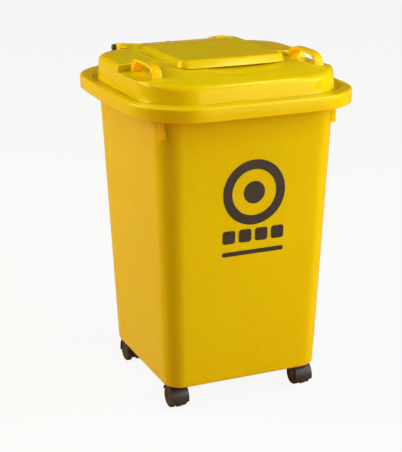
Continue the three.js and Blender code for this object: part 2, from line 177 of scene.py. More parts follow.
def rounded_loop(corners, cut, steps=4):
    """A closed loop through corner points in space, each corner rounded over the length of cut."""
    corners = np.array(corners, dtype=float)
    loop = []
    for before, here, after in zip(np.roll(corners, 1, axis=0), corners, np.roll(corners, -1, axis=0)):
        ends = []
        for other in (before, after):
            length = np.linalg.norm(other - here)
            ends.append(here + (other - here) / length * min(cut, 0.48 * length))
        for t in np.linspace(0, 1, steps + 1):
            loop.append((1 - t) ** 2 * ends[0] + 2 * t * (1 - t) * here + t * t * ends[1])
    return np.array(loop)


def blended(first, last, count):
    """Rings evenly spaced from first to last, both left out."""
    return [first + (last - first) * t for t in np.linspace(0, 1, count + 1)[1:-1]]


class Shape:
    """Points in millimetres and faces of one mesh in the making."""

    def __init__(self):
        self.points = []
        self.faces = []

    def add(self, points):
        start = len(self.points)
        self.points.extend(map(tuple, points))
        return list(range(start, len(self.points)))

    def skin(self, rings, closed=False):
        """Joins rings with quads. closed also joins the last ring to the first."""
        indices = [self.add(ring) for ring in rings]
        pairs = list(zip(indices, indices[1:]))
        if closed:
            pairs.append((indices[-1], indices[0]))
        for lower, upper in pairs:
            count = len(lower)
            for i in range(count):
                after = (i + 1) % count
                self.faces.append((lower[i], lower[after], upper[after], upper[i]))
        return indices

    def cap(self, ring, height=None, flip=False):
        """Fills a ring of 4 n points with a grid of n by n quads, which may follow a height function."""
        count = len(ring) // 4
        edge = np.array([self.points[i] for i in ring])
        low, high = edge[:count + 1], edge[3 * count - np.arange(count + 1)]
        right, left = edge[count:2 * count + 1], edge[(4 * count - np.arange(count + 1)) % (4 * count)]
        grid = {}
        for i in range(count + 1):
            for j in range(count + 1):
                u, v = i / count, j / count
                if j == 0:
                    grid[i, j] = ring[i]
                elif j == count:
                    grid[i, j] = ring[3 * count - i]
                elif i == 0:
                    grid[i, j] = ring[4 * count - j]
                elif i == count:
                    grid[i, j] = ring[count + j]
                else:
                    point = (1 - v) * low[i] + v * high[i] + (1 - u) * left[j] + u * right[j]
                    point = point - (1 - u) * (1 - v) * low[0] - u * (1 - v) * low[-1]
                    point = point - (1 - u) * v * high[0] - u * v * high[-1]
                    if height:
                        point[2] = float(height(point[0], point[1]))
                    grid[i, j] = self.add([point])[0]
        for i in range(count):
            for j in range(count):
                face = (grid[i, j], grid[i + 1, j], grid[i + 1, j + 1], grid[i, j + 1])
                self.faces.append(face[::-1] if flip else face)

    def sweep(self, loops):
        """A bar skinned over convex loops and closed at both ends."""
        indices = self.skin(loops)
        self.faces.append(tuple(indices[0][::-1]))
        self.faces.append(tuple(indices[-1]))

    def prism_x(self, points, low, high, round_edge=1.0, steps=3):
        """A plate with its outline in the YZ plane and rounded rims, from x = low to x = high."""
        points = np.array(points, dtype=float)
        before = points - np.roll(points, 1, axis=0)
        after = np.roll(points, -1, axis=0) - points
        area = np.sum(points[:, 0] * np.roll(points[:, 1], -1) - np.roll(points[:, 0], -1) * points[:, 1])
        if area < 0:
            points, before, after = points[::-1], -after[::-1], -before[::-1]
        normals = []
        for way in (before, after):
            length = np.maximum(np.linalg.norm(way, axis=1, keepdims=True), 1e-9)
            normals.append(np.column_stack([way[:, 1], -way[:, 0]]) / length)
        outward = normals[0] + normals[1]
        outward /= np.maximum(np.sum(outward * normals[0], axis=1, keepdims=True), 0.5)
        rings = []
        for end, sign in ((low, 1), (high, -1)):
            part = []
            for angle in np.linspace(0, math.pi / 2, steps + 1):
                inset = round_edge * (1 - math.sin(angle))
                place = end + sign * round_edge * (1 - math.cos(angle))
                ring = points - outward * inset
                part.append(np.column_stack([np.full(len(ring), place), ring]))
            rings += part if sign > 0 else part[::-1]
        indices = self.skin(rings)
        self.faces.append(tuple(indices[0][::-1]))
        self.faces.append(tuple(indices[-1]))

    def lathe_x(self, profile, centre, steps=48):
        """Turns a closed or axis-to-axis profile of (radius, x) about an X axis through centre (y, z)."""
        rings = []
        for radius, x in profile:
            angles = np.linspace(0, 2 * math.pi, steps, endpoint=False)
            rings.append(np.column_stack([
                np.full(steps, float(x)),
                centre[0] + radius * np.cos(angles),
                centre[1] + radius * np.sin(angles),
            ]))
        indices = self.skin(rings)
        if profile[0] != profile[-1]:
            self.faces.append(tuple(indices[0][::-1]))
            self.faces.append(tuple(indices[-1]))

    def lathe_z(self, profile, centre, steps=48):
        """Turns an axis-to-axis profile of (radius, z) about a Z axis through centre (x, y)."""
        rings = []
        for radius, z in profile:
            angles = np.linspace(0, 2 * math.pi, steps, endpoint=False)
            rings.append(np.column_stack([
                centre[0] + radius * np.cos(angles),
                centre[1] + radius * np.sin(angles),
                np.full(steps, float(z)),
            ]))
        indices = self.skin(rings)
        self.faces.append(tuple(indices[0][::-1]))
        self.faces.append(tuple(indices[-1]))


def make(name, shape, body, material, stands_for=(), sharp=38.0):
    """Makes the shape a Blender object that rides on a body of the frame."""
    mesh = bpy.data.meshes.new(name)
    mesh.from_pydata((np.array(shape.points) * MM).tolist(), [], shape.faces)
    work = bmesh.new()
    work.from_mesh(mesh)
    bmesh.ops.remove_doubles(work, verts=work.verts, dist=0.00001)
    bmesh.ops.recalc_face_normals(work, faces=work.faces)
    work.to_mesh(mesh)
    work.free()
    mesh.polygons.foreach_set("use_smooth", [True] * len(mesh.polygons))
    mesh.set_sharp_from_angle(angle=math.radians(sharp))
    mesh.materials.append(material)
    piece = bpy.data.objects.new(name, mesh)
    bpy.context.scene.collection.objects.link(piece)
    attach(piece, body)
    if stands_for:
        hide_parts(*stands_for)
    return piece


def curve(points, steps=6):
    """A smooth line through points, by Catmull-Rom."""
    points = np.array(points, dtype=float)
    padded = np.vstack([2 * points[0] - points[1], points, 2 * points[-1] - points[-2]])
    line = []
    for a, b, c, d in zip(padded, padded[1:], padded[2:], padded[3:]):
        for t in np.linspace(0, 1, steps, endpoint=False):
            line.append(0.5 * (2 * b + (c - a) * t + (2 * a - 5 * b + 4 * c - d) * t ** 2
                               + (3 * b - a - 3 * c + d) * t ** 3))
    line.append(points[-1])
    return np.array(line)


def arc(centre, radius, start, end, steps):
    """Points on an arc, angles in degrees."""
    angles = np.radians(np.linspace(start, end, steps + 1))
    return np.column_stack([centre[0] + radius * np.cos(angles), centre[1] + radius * np.sin(angles)])


def smooth_min(a, b, soft):
    """The lower of two heights, rounded over where they cross."""
    mix = np.clip(0.5 + 0.5 * (b - a) / soft, 0, 1)
    return b + (a - b) * mix - soft * mix * (1 - mix)


# ---- materials ----------------------------------------------------------------------------
def node(tree, kind, inputs=None, **settings):
    """Adds a shader node. Inputs go by name or number, as a value or another node's output."""
    made = tree.nodes.new("ShaderNode" + kind)
    for name, value in settings.items():
        setattr(made, name, value)
    for name, value in (inputs or {}).items():
        if isinstance(value, bpy.types.NodeSocket):
            tree.links.new(value, made.inputs[name])
        else:
            made.inputs[name].default_value = value
    return made


def noise(tree, place, scale, detail=3.0, roughness=0.55):
    settings = {"Vector": place, "Scale": scale, "Detail": detail, "Roughness": roughness}
    return node(tree, "TexNoise", settings).outputs["Fac"]


def ranged(tree, value, low, high, to_low, to_high):
    """A value mapped from one range to another, held at the ends."""
    settings = {"Value": value, "From Min": low, "From Max": high, "To Min": to_low, "To Max": to_high}
    return node(tree, "MapRange", settings).outputs["Result"]


def mixed(tree, share, first, second, blend_type="MIX"):
    """A mix of two colours by a share."""
    made = node(tree, "Mix", {"Factor": share}, data_type="RGBA", blend_type=blend_type)
    for socket, value in ((made.inputs[6], first), (made.inputs[7], second)):
        if isinstance(value, bpy.types.NodeSocket):
            tree.links.new(value, socket)
        else:
            socket.default_value = (*value, 1.0)
    return made.outputs[2]


def scaled(tree, place, factors):
    """A place stretched by factors along the three axes."""
    return node(tree, "Mapping", {"Vector": place, "Scale": factors}).outputs["Vector"]


def times(tree, first, second):
    return node(tree, "Math", {0: first, 1: second}, operation="MULTIPLY").outputs["Value"]


def bumped(tree, height, strength, distance, normal=None):
    settings = {"Height": height, "Strength": strength, "Distance": distance}
    if normal is not None:
        settings["Normal"] = normal
    return node(tree, "Bump", settings).outputs["Normal"]


def new_material(name, **constants):
    """A material whose constants sit on the shader's own sockets, with its tree, shader and place."""
    material = bpy.data.materials.new(name)
    material.use_nodes = True
    tree = material.node_tree
    shader = tree.nodes["Principled BSDF"]
    for socket, value in constants.items():
        shader.inputs[socket.replace("_", " ")].default_value = value
    place = node(tree, "TexCoord").outputs["Object"]
    return material, tree, shader, place


def edge_wear(tree, place, low, high, patch_scale):
    """Where convex edges have been rubbed, in patches."""
    edge = ranged(tree, node(tree, "NewGeometry").outputs["Pointiness"], low, high, 0.0, 1.0)
    patches = ranged(tree, noise(tree, place, patch_scale, 4.0), 0.35, 0.7, 0.15, 1.0)
    return times(tree, edge, patches)


def plug(tree, shader, color, roughness, normal):
    tree.links.new(color, shader.inputs["Base Color"])
    tree.links.new(roughness, shader.inputs["Roughness"])
    tree.links.new(normal, shader.inputs["Normal"])


def yellow_plastic():
    """Glossy polyethylene: faint clouds of colour, orange peel, fine scuffs, paler rubbed edges."""
    material, tree, shader, place = new_material(
        "yellow_polyethylene",
        IOR=1.5,
        Specular_IOR_Level=0.36,
        Specular_Tint=(1.0, 0.86, 0.22, 1.0),
        Subsurface_Weight=0.45,
        Subsurface_Radius=(1.0, 0.30, 0.03),
        Subsurface_Scale=0.028,
    )
    clouds = ranged(tree, noise(tree, place, 4.0, 2.0), 0.3, 0.7, 0.0, 1.0)
    grain = ranged(tree, noise(tree, place, 170.0, 3.0), 0.3, 0.7, 0.0, 1.0)
    color = mixed(tree, clouds, (0.82, 0.53, 0.002), (0.795, 0.50, 0.001))
    color = mixed(tree, times(tree, grain, 0.10), color, (0.68, 0.36, 0.002))
    wear = edge_wear(tree, place, 0.515, 0.58, 55.0)
    color = mixed(tree, times(tree, wear, 0.30), color, (0.90, 0.60, 0.03))
    streaks = noise(tree, scaled(tree, place, (60.0, 60.0, 7.0)), 9.0, 5.0)
    scuffs = ranged(tree, streaks, 0.58, 0.72, 0.0, 1.0)
    roughness = ranged(tree, noise(tree, place, 24.0, 4.0), 0.3, 0.7, 0.15, 0.21)
    worn = {0: times(tree, scuffs, 0.07), 1: roughness}
    roughness = node(tree, "Math", worn, operation="ADD").outputs["Value"]
    wavy = bumped(tree, noise(tree, place, 9.0, 1.0), 0.25, 0.004)
    peel = bumped(tree, noise(tree, place, 520.0, 2.0), 0.10, 0.0006, wavy)
    plug(tree, shader, color, roughness, peel)
    return material


def black_material(name, tone, rough, grain_scale, grain_depth):
    """Moulded black plastic or rubber with grain, dusty patches and paler rubbed edges."""
    material, tree, shader, place = new_material(name, IOR=1.5, Specular_IOR_Level=0.35)
    dust = ranged(tree, noise(tree, place, 40.0, 5.0), 0.42, 0.75, 0.0, 1.0)
    color = mixed(tree, dust, (tone, tone * 0.97, tone * 0.90), (tone * 1.7, tone * 1.6, tone * 1.45))
    wear = edge_wear(tree, place, 0.52, 0.62, 160.0)
    color = mixed(tree, times(tree, wear, 0.5), color, (0.12, 0.115, 0.105))
    roughness = ranged(tree, noise(tree, place, 90.0, 4.0), 0.3, 0.7, rough - 0.06, rough + 0.08)
    grain = bumped(tree, noise(tree, place, grain_scale, 3.0), 0.35, grain_depth)
    plug(tree, shader, color, roughness, grain)
    return material


def zinc_steel():
    """Zinc plated steel with turning marks and stains."""
    material, tree, shader, place = new_material("zinc_steel", Metallic=1.0)
    stain = ranged(tree, noise(tree, place, 120.0, 5.0), 0.4, 0.7, 0.0, 1.0)
    color = mixed(tree, stain, (0.60, 0.61, 0.63), (0.42, 0.41, 0.39))
    lines = noise(tree, scaled(tree, place, (30.0, 30.0, 900.0)), 3.0, 2.0)
    roughness = ranged(tree, lines, 0.3, 0.7, 0.28, 0.46)
    plug(tree, shader, color, roughness, bumped(tree, lines, 0.2, 0.0002))
    return material


def black_ink():
    """Screen printed ink: a matt film, a little thin and speckled in places."""
    material, tree, shader, place = new_material("black_ink", IOR=1.45)
    thin = ranged(tree, noise(tree, place, 260.0, 6.0, 0.7), 0.60, 0.78, 0.0, 1.0)
    clouds = ranged(tree, noise(tree, place, 30.0, 3.0), 0.3, 0.7, 0.0, 1.0)
    color = mixed(tree, clouds, (0.018, 0.013, 0.009), (0.030, 0.021, 0.012))
    color = mixed(tree, times(tree, thin, 0.35), color, (0.25, 0.15, 0.01))
    roughness = ranged(tree, noise(tree, place, 150.0, 3.0), 0.3, 0.7, 0.38, 0.52)
    plug(tree, shader, color, roughness, bumped(tree, noise(tree, place, 900.0, 2.0), 0.15, 0.0003))
    return material


YELLOW = yellow_plastic()
BLACK = black_material("black_nylon", 0.022, 0.45, 1500.0, 0.0004)
TREAD = black_material("black_polyurethane", 0.020, 0.58, 900.0, 0.0005)
STEEL = zinc_steel()
INK = black_ink()


# ---- tub ----------------------------------------------------------------------------------
TUB_CORNER = 16
TUB_SIDE = 12


def tub_plan(z, inset=0.0):
    """The tub's plan at a height, drawn in by inset on every side."""
    share = (z - TUB_BOTTOM) / (TUB_TOP - TUB_BOTTOM)
    width, depth, radius = [low + (high - low) * share for low, high in zip(TUB_PLAN_LOW, TUB_PLAN_HIGH)]
    return outline(
        width - 2 * inset, depth - 2 * inset, radius - inset,
        centre=(0.0, TUB_Y), corner=TUB_CORNER, side=TUB_SIDE,
    )


def flange_plan(inset):
    width, depth, radius, bow = FLANGE
    return outline(
        width - 2 * inset, depth - 2 * inset, radius - inset, bow,
        corner=TUB_CORNER, side=TUB_SIDE,
    )


def tub_shape():
    shape = Shape()
    band_top = TUB_BOTTOM + BAND_HEIGHT
    lip_bottom = TUB_TOP - FLANGE_LIP
    under = TUB_TOP - WALL
    steps = [
        (tub_plan(TUB_BOTTOM, BAND_INSET + 12), TUB_BOTTOM, 0),
        (tub_plan(TUB_BOTTOM, BAND_INSET), TUB_BOTTOM, 7),
        (tub_plan(band_top, BAND_INSET), band_top - 5, 4.0),
        (tub_plan(band_top), band_top + 3, 4.0),
        (tub_plan(under), under, 4),
        (flange_plan(WALL), under, 2),
        (flange_plan(WALL), lip_bottom, 1),
        (flange_plan(0), lip_bottom, 1),
        (flange_plan(0), TUB_TOP, 2.5),
        (tub_plan(TUB_TOP, WALL), TUB_TOP, 2.5),
        (tub_plan(TUB_BOTTOM, BAND_INSET + WALL), TUB_BOTTOM + 4, 9),
        (tub_plan(TUB_BOTTOM, BAND_INSET + WALL + 14), TUB_BOTTOM + 4, 0),
    ]
    rings = soften([raised(plan, z) for plan, z, cut in steps], [cut for plan, z, cut in steps])
    indices = shape.skin(rings)
    shape.cap(indices[0], flip=True)
    shape.cap(indices[-1])
    return shape


def tub_extras():
    """The ribs under the flange, the casters' sockets and the flat panel that the tub rests on."""
    shape = Shape()
    for side in (-1, 1):
        for middle, reach in (
            (TUB_Y - GUSSET_Y, GUSSET_REACH_FRONT),
            (TUB_Y + GUSSET_Y, GUSSET_REACH_REAR),
        ):
            low, high = sorted((side * GUSSET_INNER, side * reach))
            rib = outline(high - low, 6.0, 2.0, centre=((low + high) / 2, middle), corner=4, side=3)
            rings = [raised(rib, GUSSET_BOTTOM), raised(rib, TUB_TOP - 2)]
            small = outline(high - low - 2, 4.0, 1.0, centre=((low + high) / 2, middle), corner=4, side=3)
            rings = soften([raised(small, GUSSET_BOTTOM), rings[0], rings[1]], [0, 0.8, 0], 3)
            indices = shape.skin(rings)
            shape.cap(indices[0], flip=True)
            shape.cap(indices[-1])
    for x, y in STEMS.values():
        profile = [
            (SOCKET_BORE, TUB_BOTTOM + 0.5), (SOCKET_OUTER, TUB_BOTTOM + 0.5),
            (SOCKET_OUTER, SOCKET_TOP), (0.5, SOCKET_TOP),
            (0.5, SOCKET_TOP - WALL), (SOCKET_BORE, SOCKET_TOP - WALL),
        ]
        shape.lathe_z(profile + profile[:1], (x, y), 32)
    low, high = TUB_LOW[2], TUB_BOTTOM + 1
    panel = [
        outline(150.0 - 2 * inset, 220.0 - 2 * inset, 20.0 - inset, centre=(0.0, TUB_Y), corner=8, side=6)
        for inset in (1.5, 0)
    ]
    rings = soften([raised(panel[0], low), raised(panel[1], low), raised(panel[1], high)], [0, 1.2, 0], 3)
    indices = shape.skin(rings)
    shape.cap(indices[0], flip=True)
    shape.cap(indices[-1])
    return shape


CASTERS = {"front_left": (-1, -1), "front_right": (1, -1), "rear_left": (-1, 1), "rear_right": (1, 1)}
STEMS = {}
for place in CASTERS:
    spot = JOINTS[f"caster_{place}_swivel"]["pos_m"]
    STEMS[place] = (spot[0] / MM, spot[1] / MM)

body = tub_shape()
extras = tub_extras()
offset = len(body.points)
body.points += extras.points
body.faces += [tuple(i + offset for i in face) for face in extras.faces]
make("tub_shell", body, "bin", YELLOW, ["tub"])


# ---- lid ----------------------------------------------------------------------------------
# Every ring of the lid crosses its sides at these places along y, closest at the scoops' back walls.
LID_LINES = SCOOP_BACK + np.concatenate([
    np.linspace(-33, -9, 9),
    [-6.5, -4.5, -3, -2, -1, 0, 1, 2, 3, 4, 5, 6, 7, 8.5, 10.5],
    np.linspace(14, 102, 25),
])
LID_REAR_POINTS = 110
LID_FRONT_POINTS = 150


def lid_ring(plan):
    """Places an outline's points anew, so that both its sides have them at LID_LINES."""
    closed = np.vstack([plan, plan[:1]])
    along = np.concatenate([[0], np.cumsum(np.linalg.norm(np.diff(closed, axis=0), axis=1))])
    total = along[-1]
    on_right = closed[:, 0] > 0
    on_left = (closed[:, 0] < 0) & (along > total / 2)
    right = np.interp(LID_LINES, closed[on_right, 1], along[on_right])
    left = np.interp(LID_LINES, closed[on_left, 1][::-1], along[on_left][::-1])
    places = np.concatenate([
        right,
        np.linspace(right[-1], left[-1], LID_REAR_POINTS)[1:-1],
        left[::-1],
        np.linspace(left[0], right[0] + total, LID_FRONT_POINTS)[1:-1] % total,
    ])
    return np.column_stack([
        np.interp(places, along, closed[:, 0]), np.interp(places, along, closed[:, 1]),
    ])


def rim(inset):
    width, depth, radius, bow = SKIRT
    return lid_ring(outline(
        width - 2 * inset, depth - 2 * inset, radius - inset, bow, corner=90, side=60,
    ))


def rise(inset):
    width, depth, radius, bow = DOME
    return lid_ring(outline(
        width - 2 * inset, depth - 2 * inset, radius - inset / 2, bow, (0.0, DOME_Y), corner=90, side=60,
    ))


def hole(grow):
    width, depth, radius = MOUTH
    return lid_ring(outline(
        width + 2 * grow, depth + 2 * grow, radius + grow, centre=(0.0, MOUTH_Y), corner=90, side=60,
    ))


def crown_height(x, y):
    """The lid's crowned top, which falls to the sides and front and late to the rear."""
    sideways = CROWN_FALL_SIDE * (np.abs(x) / CROWN_HALF_WIDTH) ** 3
    front = CROWN_FALL_FRONT * (np.maximum(-y, 0) / CROWN_FRONT) ** 2.5
    return CROWN - sideways - front - CROWN_FALL_REAR * (np.maximum(y, 0) / CROWN_REAR) ** 4


def scoop_height(x, y):
    """The hollow under each handle: a flat floor that opens out at the side, with a steep back wall."""
    inward = np.clip((SCOOP_OUTER - np.abs(x)) / (SCOOP_OUTER - SCOOP_INNER), 0, None)
    forward = np.clip((SCOOP_BACK - y) / (SCOOP_BACK - SCOOP_FRONT), 0, None)
    behind = np.clip(y - SCOOP_BACK, 0, None)
    return SCOOP_FLOOR + 16.0 * inward ** 2.5 + 7.0 * forward ** 4 + 3.0 * behind


def lifted(plan, drop, under=0.0):
    """A lid ring drop below the crown, or below the floor of a scoop where that is lower."""
    x, y = plan[:, 0], plan[:, 1]
    top = crown_height(x, y) - drop
    reach = np.clip(1 - ((x - FINGER[0]) / FINGER[2]) ** 2 - ((y - FINGER[1]) / FINGER[3]) ** 2, 0, 1)
    top = top - FINGER_DEPTH * np.sqrt(reach + 0.02) + FINGER_DEPTH * math.sqrt(0.02)
    return np.column_stack([plan, smooth_min(top, scoop_height(x, y), 1.6) - under])


# The shallow finger hollow before the flap: its middle, its half sizes and its depth.
FINGER = (12.0, -108.0, 68.0, 42.0)
FINGER_DEPTH = 3.0
RIDGE_INSET = 10.0
RIDGE_DROP = 8.5
DRAFT = 1.5
DOME_FOOT = SKIRT_TOP - 1.2
TUB_REST = TUB_TOP + 0.4


def dome_rings(under):
    """The dome from its foot over the ridge to the mouth's edge; under is how far below it."""
    rings = []
    for share in (0.0, 0.35, 0.6, 0.75, 0.85, 0.93):
        plan = rise(DRAFT * share + under)
        top = lifted(plan, RIDGE_DROP)[:, 2]
        rings.append(np.column_stack([plan, DOME_FOOT + (top - DOME_FOOT) * share]))
    for angle in np.radians(np.linspace(0, 90, 10)):
        inset = DRAFT + (RIDGE_INSET - DRAFT) * (1 - math.cos(angle)) + under * math.cos(angle)
        rings.append(lifted(rise(inset), RIDGE_DROP * (1 - math.sin(angle)), under * math.sin(angle)))
    last, mouth_edge = rise(RIDGE_INSET), hole(1.0)
    for plan in blended(last, mouth_edge, 40 if not under else 24):
        rings.append(lifted(plan, 0.0, under))
    return rings


def lid_shape():
    shape = Shape()
    outer = soften([
        raised(rim(LID_WALL), SKIRT_BOTTOM),
        raised(rim(0), SKIRT_BOTTOM),
        raised(rim(0), SKIRT_TOP),
        raised(rise(-9.5), SKIRT_TOP),
        raised(rise(-6.5), SKIRT_TOP - 2.6),
        raised(rise(-0.5), SKIRT_TOP - 2.6),
        raised(rise(0), DOME_FOOT),
    ], [0, 1.0, 4.0, 1.0, 1.5, 1.2, 0])
    edge = soften([
        lifted(hole(1.0), 0.0), lifted(hole(0), 0.0),
        lifted(hole(0), 0.0, LID_WALL), lifted(hole(1.0), 0.0, LID_WALL),
    ], [0, 1.0, 1.0, 0], 3)
    inner = [raised(rise(LID_WALL), TUB_REST), raised(rim(LID_WALL), TUB_REST)]
    shape.skin(outer + dome_rings(0.0)[1:] + edge + dome_rings(LID_WALL)[::-1] + inner, closed=True)
    return shape


def handle_shape():
    """Both handles: a strap that stands over its scoop as a low bow, broader at its rear leg."""
    shape = Shape()
    over = curve([
        (-122.5, 588), (-120.5, 595), (-117, 602), (-110, 608), (-98, 611.2), (-79, 612.4), (-60, 612.5),
        (-45, 612.2), (-34, 611.2), (-27, 609), (-21, 603.5), (-16, 597), (-11, 586),
    ], 4)
    beneath = curve([
        (-115, 588), (-113.5, 594.5), (-110.5, 599), (-105.5, 603.5), (-96, 606.3), (-79, 607.5),
        (-60, 607.6), (-50, 607.4), (-43, 606.6), (-38, 604.3), (-33, 600), (-28, 595), (-24, 586),
    ], 4)
    for side in (-1, 1):
        low, high = [side * x for x in HANDLE_X]
        shape.sweep([
            rounded_loop([(low, *top), (high, *top), (high, *bottom), (low, *bottom)], 1.6)
            for top, bottom in zip(over, beneath)
        ])
    return shape


def hinge_shape():
    """The ears that carry the hinge pins, and the stop between them that the open flap rests on."""
    shape = Shape()
    y, z = HINGE[1], HINGE[2]
    front, base, root = FLAP_REAR + 2.3, SKIRT_TOP - 2, FLAP_REAR
    around = arc((y, z), KNUCKLE - 0.5, 0, 160, 14)
    ear = np.vstack([
        [(root, base), (y + 3, base)], around, [(front + 0.5, z - 3), (front, z - 8), (root, z - 15)],
    ])
    for side in (-1, 1):
        low, high = sorted(side * x for x in LUG_X)
        shape.prism_x(ear, low, high, 0.9)
    stop = [(root, base), (y + 3, base), (y + 4.5, z), (y + 3, z + 4), (y - 1, z + 6), (y - 4, z + 5.2),
            (front + 1, z - 1), (front, z - 5), (root, z - 15)]
    shape.prism_x(stop, -4.5, 4.5, 1.2)
    return shape


def joined(*shapes):
    """Several shapes as one."""
    whole = Shape()
    for part in shapes:
        start = len(whole.points)
        whole.points += part.points
        whole.faces += [tuple(i + start for i in face) for face in part.faces]
    return whole


make("lid_shell", joined(lid_shape(), hinge_shape()), "lid", YELLOW, ["lid"], 50)
make("lid_handles", handle_shape(), "lid", YELLOW)

pin_head = ARM_X[1] + 0.3
for side, name in ((-1, "left"), (1, "right")):
    shape = Shape()
    profile = [
        (0.1, 84.0), (2.6, 84.0), (3.0, 84.5), (3.0, pin_head), (6.6, pin_head), (7.2, pin_head + 0.6),
        (7.2, pin_head + 3.4), (6.7, pin_head + 4.5), (5.2, pin_head + 5.1), (2.4, pin_head + 5.3),
        (0.1, pin_head + 5.3),
    ]
    shape.lathe_x([(radius, side * x) for radius, x in profile], HINGE[1:])
    make(f"hinge_pin_{name}_turned", shape, "lid", BLACK, [f"hinge_pin_{name}"])


# ---- flap ---------------------------------------------------------------------------------
FLAP_EDGE = 600.5
FLAP_REAR_TOP = 596.0


def flap_top(y):
    """The flap's top line: level, then falling to the rear."""
    slope = (FLAP_TOP - FLAP_REAR_TOP) / (FLAP_REAR - FLAP_RIDGE_Y)
    return smooth_min(np.full_like(y, FLAP_TOP), FLAP_TOP - slope * (y - FLAP_RIDGE_Y), 2.0)


def flap_side(y):
    """Half the flap's width along its lower edge, which swells behind the front and then tapers."""
    share = np.clip((y - FLAP_FRONT) / (20 - FLAP_FRONT), 0, 1)
    taper = FLAP_TAPER * (np.maximum(y, 0) / HINGE[1]) ** 2
    return FLAP_HALF + FLAP_SWELL * share * share * (3 - 2 * share) - taper


def flap_plan(rise, inset, rear_inset=0.0):
    """The flap's plan, from its lower edge (rise 0) to its top (rise 1); its front edge is bowed."""
    front = FLAP_FRONT + (FLAP_TOP_FRONT - FLAP_FRONT) * rise + inset
    rear = FLAP_REAR - rear_inset
    middle = (0, (front + rear) / 2)
    radius = FLAP_CORNER - FLAP_CORNER_LOSS * rise
    plain = outline(2 * (FLAP_HALF - inset), rear - front, radius, centre=middle, corner=14, side=22)
    x, y = plain[:, 0], plain[:, 1]
    side = flap_side(y) * (1 - rise) + FLAP_TOP_HALF * rise
    near = np.clip(1 - (y - front) / 60, 0, 1)
    bowed = FLAP_BOW * (1 - (x / FLAP_HALF) ** 2) * near * near * (3 - 2 * near)
    return np.column_stack([x * side / FLAP_HALF, y - bowed])


def flap_bottom(plan, lift):
    return np.column_stack([plan, crown_height(plan[:, 0], plan[:, 1]) + lift])


def flap_upper(inset, drop, rear_inset):
    """The ring at the top of the bevel, which narrows away where the flap falls to the rear."""
    wide, narrow = flap_plan(0.0, inset, rear_inset), flap_plan(1.0, inset, rear_inset)
    share = np.clip((flap_top(wide[:, 1]) - FLAP_EDGE) / (FLAP_TOP - FLAP_EDGE), 0, 1)[:, None]
    plan = wide + (narrow - wide) * share
    return np.column_stack([plan, flap_top(plan[:, 1]) - drop])


def flap_shape():
    shape = Shape()
    lip_plan = flap_plan(0.0, 0.0)
    lip = np.column_stack([lip_plan, np.full(len(lip_plan), FLAP_EDGE)])
    lip[:, 2] = np.minimum(lip[:, 2], flap_top(lip[:, 1]) - 2.5)
    rings = soften([
        flap_upper(FLAP_WALL + 0.5, FLAP_WALL, FLAP_WALL),
        flap_bottom(flap_plan(0.0, FLAP_WALL, FLAP_WALL), 1.0),
        flap_bottom(lip_plan, 1.0),
        lip,
        flap_upper(0.0, 0.0, 0.0),
        flap_upper(5.0, 0.0, 4.0),
    ], [0, 0.5, 0.7, 1.2, 2.6, 0])
    indices = shape.skin(rings)
    shape.cap(indices[0], lambda x, y: flap_top(np.array([y]))[0] - FLAP_WALL, flip=True)
    shape.cap(indices[-1], lambda x, y: flap_top(np.array([y]))[0])
    return shape


def arm_shape():
    """The arms: each grows out of the flap's side bevel and runs back, narrowing, to its knuckle."""
    shape = Shape()
    y, z = HINGE[1], HINGE[2]
    # along y: the top's height, the bottom's height, the top's inner and outer x and the bottom's outer x
    places = curve([
        (84, 611.7, 601.2, 88, 93.6, 110.6), (98, 611.3, 601.2, 89, 94.6, 110.4),
        (112, 610.6, 601.0, 90.5, 96.2, 109.9), (133, 608.0, 600.4, 93, 99, 109.0),
        (153, 605.2, 598.6, 95.5, 101.4, 108.0), (172, 602.8, 594.2, 97.2, 103.2, 107.0),
        (190, 600.7, 589.0, ARM_X[0], 104.4, 106.2), (203, 598.4, 584.6, ARM_X[0], 105.0, ARM_X[1]),
        (y - 1, 596.5, 582.0, ARM_X[0], 105.0, ARM_X[1]),
    ], 5)
    knuckle = arc((y, z), KNUCKLE, 0, 360, 40)[:-1]
    for side in (-1, 1):
        shape.sweep([
            rounded_loop([
                (side * inner, along, low), (side * wide, along, low),
                (side * outer, along, top), (side * inner, along, top),
            ], 1.5)
            for along, top, low, inner, outer, wide in places
        ])
        low, high = sorted(side * x for x in ARM_X)
        shape.prism_x(knuckle, low, high, 1.0, 3)
    return shape


make("flap_shell", joined(flap_shape(), arm_shape()), "flap", YELLOW, ["flap"], 42)


# ---- casters ------------------------------------------------------------------------------
AXLE_Z = JOINTS["caster_front_left_wheel_left_spin"]["pos_m"][2] / MM
TRAIL = 12.0


def hood_shape(x, y, facing):
    """The hood: a shell over both wheels, a web between them and a boss round the stem."""
    shape = Shape()
    outer = arc((TRAIL, AXLE_Z), HOOD_RADIUS, -17, 158, 40)
    inner = arc((TRAIL, AXLE_Z), HOOD_RADIUS - HOOD_WALL, 158, -17, 40)
    web = arc((TRAIL, AXLE_Z), HOOD_RADIUS - HOOD_WALL + 0.5, -51, 206, 40)
    for line, half, rounding in ((np.vstack([outer, inner]), HOOD_HALF, 0.7), (web, WEB_HALF, 0.8)):
        placed = np.column_stack([y + facing * line[:, 0], line[:, 1]])
        shape.prism_x(placed, x - half, x + half, rounding)
    plan = outline(2 * WEB_HALF, 16.0, 5.5, centre=(x, y), corner=6, side=3)
    small = outline(2 * WEB_HALF - 2, 14.0, 4.5, centre=(x, y), corner=6, side=3)
    rings = [raised(small, 25.0), raised(plan, 25.0), raised(plan, HOOD_TOP), raised(small, HOOD_TOP)]
    indices = shape.skin(soften(rings, [0, 1.0, 1.0, 0], 3))
    shape.cap(indices[0], flip=True)
    shape.cap(indices[-1])
    return shape


